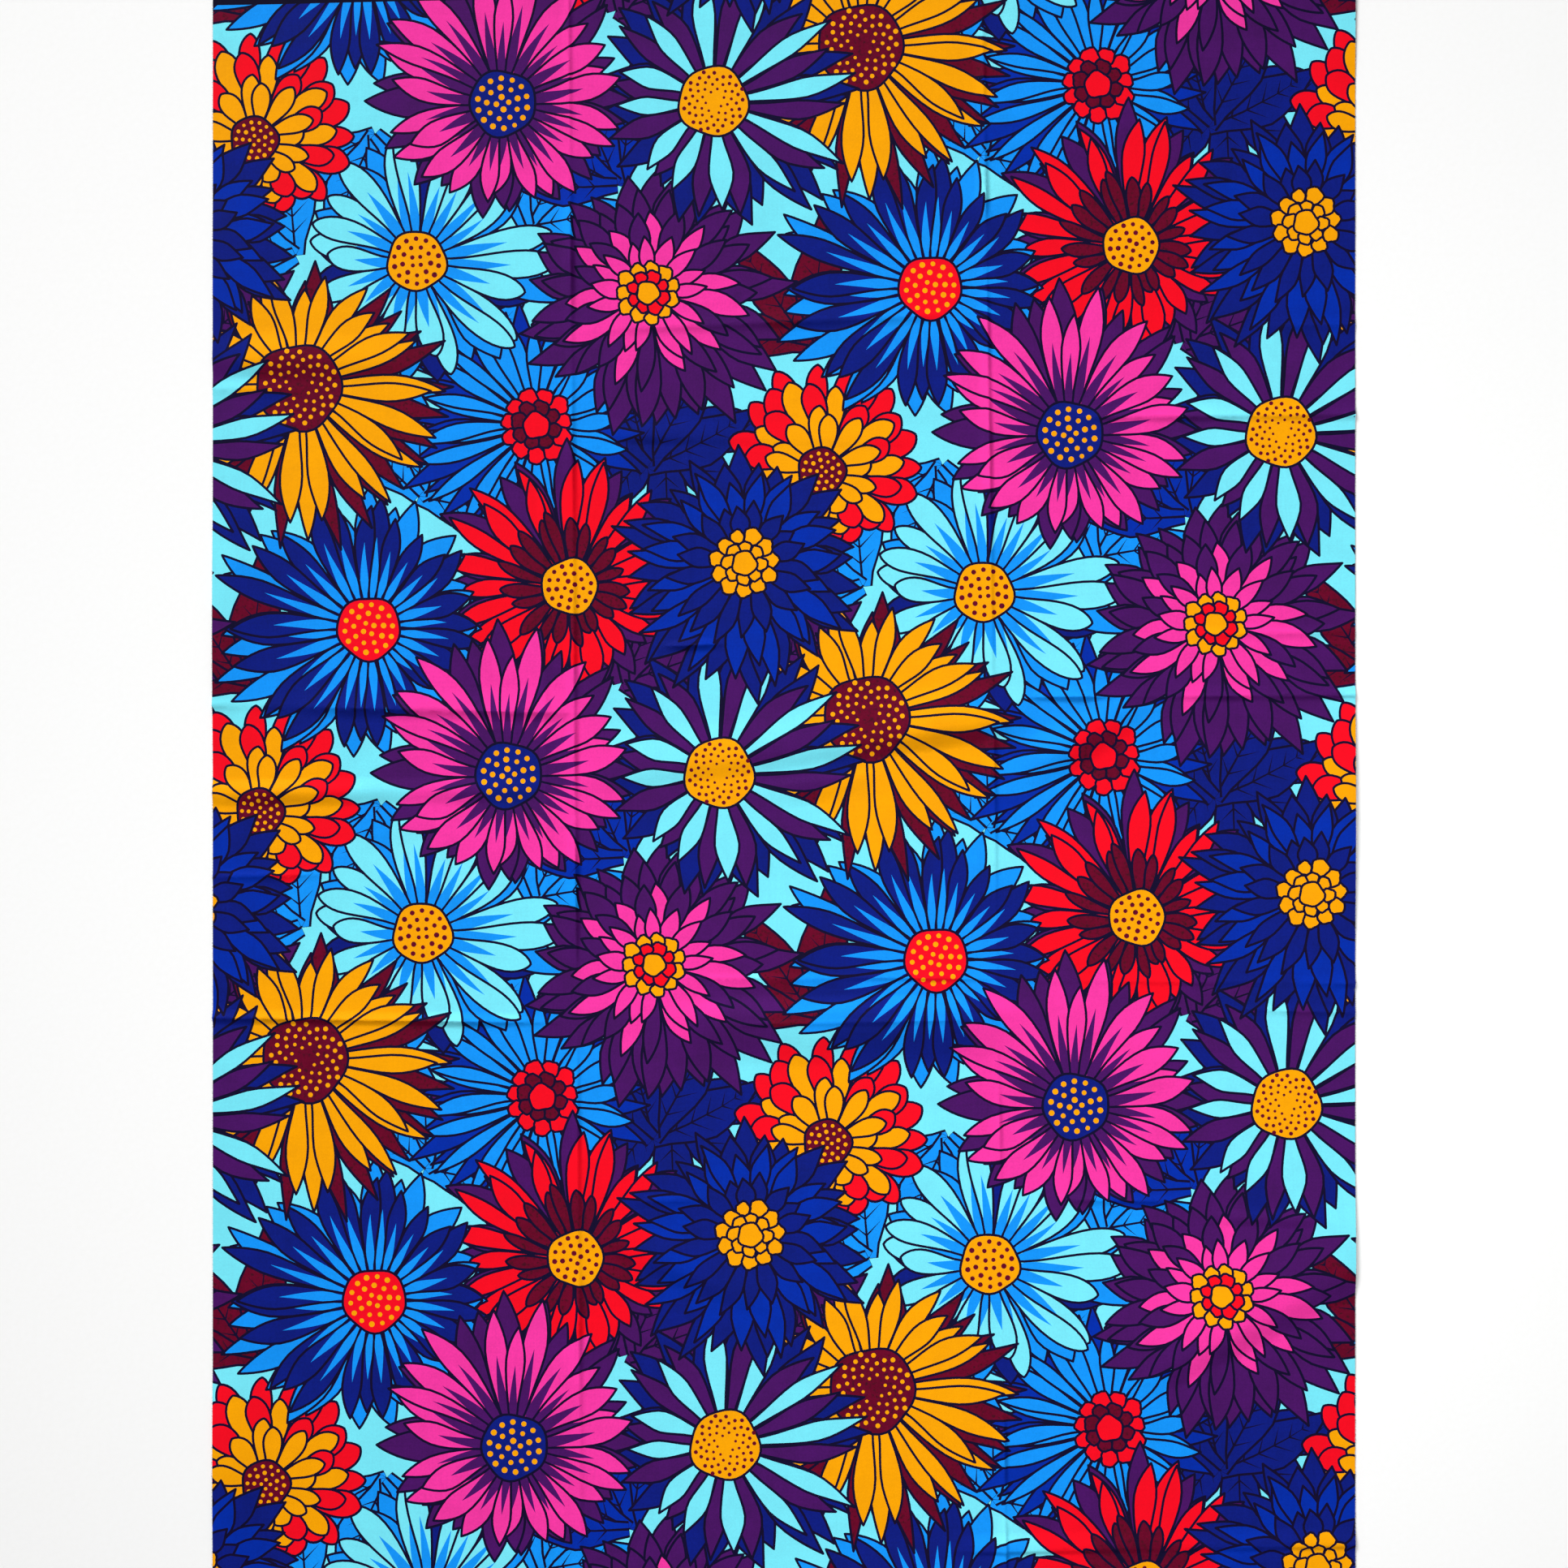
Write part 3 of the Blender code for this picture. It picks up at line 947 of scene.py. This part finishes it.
def placed(name, data, at=(0.0, 0.0, 0.0)):
    """A mesh, lamp or camera as an object of the scene."""
    made = bpy.data.objects.new(name, data)
    made.location = at
    bpy.context.scene.collection.objects.link(made)
    return made


def piece(name, slot, points, faces, facing, material):
    """A piece of the cloth, with the way each point faces and a plan of it as its bake's map."""
    mesh = bpy.data.meshes.new(name)
    mesh.from_pydata(points.tolist(), [], faces.tolist(), shade_flat=False)
    mesh.normals_split_custom_set_from_vertices(facing.tolist())
    plan = (points[:, :2] + WIDTH * MAP_MARGIN / 2) / (WIDTH * MAP_MARGIN)
    mesh.uv_layers.new(name="OFBake").data.foreach_set("uv", plan[faces.ravel()].ravel())
    mesh.materials.append(material)
    made = placed(name, mesh)
    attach(made, "root")
    return made


def threads(number):
    """The yarn ends of one dye, if it has any, that stick out of the cuts: points, faces and facings."""
    hand = np.random.default_rng(HAND)
    count = int(WIDTH / THREAD_PITCH)
    ends = []
    for side in (-1, 1):
        uneven = hand.uniform(-THREAD_SPREAD, THREAD_SPREAD, count) * THREAD_PITCH
        y = np.linspace(-THREAD_FIELD, THREAD_FIELD, count) * WIDTH + uneven
        y += side * SKEW * LENGTH / 2
        reach = hand.uniform(*THREAD_REACH, count)
        drift = hand.uniform(-THREAD_DRIFT, THREAD_DRIFT, count)
        x = np.full(count, side * (LENGTH / 2 - THREAD_ROOT))
        for at in np.flatnonzero(dyes_at(np.column_stack((x, y)) / MM) == number):
            ends.append((x[at], y[at], side * (THREAD_ROOT + reach[at]), drift[at]))
    x, y, reach, drift = np.reshape(ends, (-1, 4)).T
    z = lift(x, y) + THICK / 2
    points = []
    facing = []
    for share in THREAD_RINGS:
        for corner in THREAD_CORNERS:
            aside = math.cos(math.radians(corner))
            up = math.sin(math.radians(corner))
            at_y = y + share**2 * drift + THREAD_RADIUS * aside
            points.append(np.column_stack((x + share * reach, at_y, z + THREAD_RADIUS * up)))
            facing.append(np.tile((0.0, aside, up), (len(x), 1)))
    points.append(np.column_stack((x + reach, y + drift, z)))
    facing.append(np.column_stack((np.sign(reach), 0 * x, 0 * x)))
    first = len(points) * np.arange(len(x))
    faces = (np.array(THREAD_FACES) + first[:, None, None]).reshape(-1, 3)
    ahead = np.repeat(reach > 0, len(THREAD_FACES))
    faces[ahead] = faces[ahead][:, ::-1]
    return np.stack(points, 1).reshape(-1, 3), faces, np.stack(facing, 1).reshape(-1, 3)


cloth_plan = cloth_points * MM
cloth_lift = lift(*cloth_plan.T)
cloth_facing = slopes(*cloth_plan.T)


def skin(number, upper):
    """The faces of one dye on the cloth's upper or under side: points, faces and facings."""
    used, faces = renumbered(cloth_triangles[cloth_dyes == number])
    height = cloth_lift[used] + (THICK if upper else 0.0)
    way = 1 if upper else -1
    return np.column_stack((cloth_plan[used], height)), faces[:, ::way], way * cloth_facing[used]


def core():
    """The yarns inside the cloth: a closed sheet, thin between the dyed faces and as thick as the
    cloth at its edges, where it shows."""
    points, triangles = cut_cloth(np.empty((0, 2)), NO_EDGES, printed_mm, CORE_LOOKS)
    plan = points * MM
    height = printed_mm(points) * MM
    facing = slopes(*plan.T)
    at_edge = ~within(points, RIM)
    half = np.where(at_edge, THICK / 2 - EDGE_PLAY, EDGE_PLAY / 2)
    upper = np.column_stack((plan, height + THICK / 2 + half))
    lower = np.column_stack((plan, height + THICK / 2 - half))
    sides = sides_of(triangles)
    _, first, meeting = np.unique(np.sort(sides, axis=1), axis=0, return_index=True, return_counts=True)
    rim = sides[first[meeting == 1]]
    under = len(points)
    faces = np.concatenate((
        triangles,
        triangles[:, ::-1] + under,
        np.column_stack((rim[:, 0], rim[:, 0] + under, rim[:, 1] + under)),
        np.column_stack((rim[:, 0], rim[:, 1] + under, rim[:, 1])),
    ))
    return np.concatenate((upper, lower)), faces, np.concatenate((facing, -facing))


cloth = piece("cloth", "cotton", *core(), printed_cotton("cotton"))
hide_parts("cloth_length")

for number, dye in enumerate(DYES):
    material = printed_cotton(dye)
    sides = [skin(number, True), skin(number, False)]
    # The outline has near half of the faces, so its under side is a piece of its own
    apart = sides.pop() if dye == "indigo_line" else None
    piece(f"print_{dye}", dye, *joined(*sides, threads(number)), material)
    if apart:
        piece(f"underside_{dye}", dye, *apart, material)
bands = joined(skin(BAND, True), skin(BAND, False), threads(BAND))
piece("selvedge_bands", "indigo_line", *bands, printed_cotton("selvedge"))


# The studio
FLOOR_SIDE = 6.0
FLOOR_DROP = 0.0003  # the floor is this far below the cloth
PAPER = ("FBFBFA", "FFFFFF")  # its two whites
PAPER_GRAIN = 0.004  # size of the pulp's clouds
MATT = {"Roughness": 0.9, "Specular IOR Level": 0.1}


def white_paper():
    """Matt studio paper: even white, with the faint cloudiness of its pulp."""
    material, tree, place = new_tree("matt_studio_paper")
    pulp = add(tree, "ShaderNodeTexNoise", {"Vector": place, "Scale": 1 / PAPER_GRAIN, "Detail": 2.0})
    whites = {0: pulp, MIX_FIRST: linear(PAPER[0]), MIX_SECOND: linear(PAPER[1])}
    white = add(tree, "ShaderNodeMix", whites, MIXED, data_type="RGBA")
    shader = add(tree, "ShaderNodeBsdfPrincipled", {"Base Color": white, **MATT})
    add(tree, "ShaderNodeOutputMaterial", {"Surface": shader})
    return material


floor_points = [(x * FLOOR_SIDE / 2, y * FLOOR_SIDE / 2, -FLOOR_DROP) for x, y in CORNERS]
floor_mesh = bpy.data.meshes.new("floor")
floor_mesh.from_pydata(floor_points, [], [(0, 1, 2, 3)])
floor_mesh.materials.append(white_paper())
placed("floor", floor_mesh)

# Light comes from all round, and more from beyond the top edge, a little from the left
ROOM_LIGHT = 0.22
LAMPS = (  # each one's place, aim, side, watts and spread in degrees
    ("window", (-5.0, 7.6, 5.6), (0.0, 0.0, 0.0), 4.0, 1200.0, 180.0),
    ("softbox overhead", (0.24, -0.22, 3.0), (0.24, -0.22, 0.0), 0.6, 3.75, 60.0),
)

world = bpy.data.worlds.new("room")
world.use_nodes = True
room = world.node_tree.nodes["Background"].inputs
room["Color"].default_value = (1.0, 1.0, 1.0, 1.0)
room["Strength"].default_value = ROOM_LIGHT
bpy.context.scene.world = world

for name, place, aim, side, watts, spread in LAMPS:
    light = bpy.data.lights.new(name, "AREA")
    light.shape = "SQUARE"
    light.size = side
    light.energy = watts
    light.spread = math.radians(spread)
    lamp = placed(name, light, place)
    lamp.rotation_euler = (Vector(place) - Vector(aim)).to_track_quat("Z", "Y").to_euler()

# The camera looks straight down, and its frame stops short of both selvedges
VIEW_ACROSS = 1.167  # what the frame takes in each way
VIEW_UP = 0.0036  # the frame's middle is this far above the cloth's
LENS = 50.0
SENSOR = 36.0

camera_data = bpy.data.cameras.new("camera")
camera_data.lens = LENS
camera_data.sensor_width = SENSOR
height = VIEW_ACROSS * LENS / SENSOR + THICK
bpy.context.scene.camera = placed("camera", camera_data, (0.0, VIEW_UP, height))

# Dyes keep their own colours only without a film curve
bpy.context.scene.view_settings.view_transform = "Standard"
